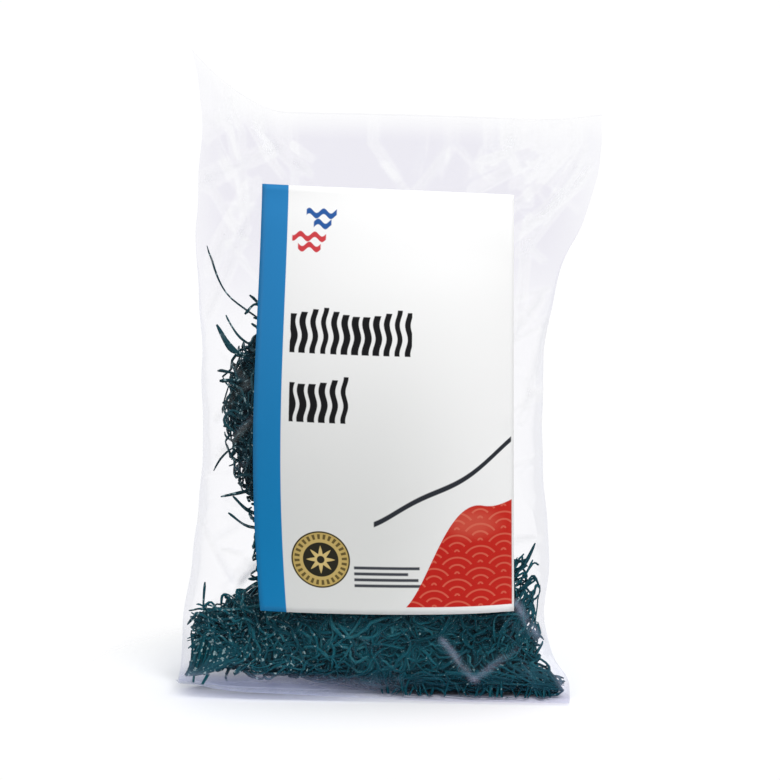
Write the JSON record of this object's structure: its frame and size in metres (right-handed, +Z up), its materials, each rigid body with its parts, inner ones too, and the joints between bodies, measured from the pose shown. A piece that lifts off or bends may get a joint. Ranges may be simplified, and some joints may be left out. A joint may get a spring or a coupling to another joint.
{
  "type": "packet of arame seaweed",
  "caption": "Clear film pillow packet of dried shredded seaweed, sealed flat at top and bottom and standing on its folded base, with a tall paper label on the front.",
  "frame": {"origin": "on the floor, at the middle of the bounding box", "axes": "+Z up, the label faces -Y, and +X is to the right of the label as a reader sees it"},
  "size_m": [0.166, 0.063, 0.2562],
  "materials": {
    "clear_film": "clear glossy thin film",
    "label_paper": "semi-gloss coated paper",
    "dried_weed": "dry, dark blue-green, dull with faint sheen"
  },
  "bodies": {
    "root": {"film_packet": "clear_film", "front_label": "label_paper", "arame_tangle": "dried_weed"}
  },
  "joints": []
}
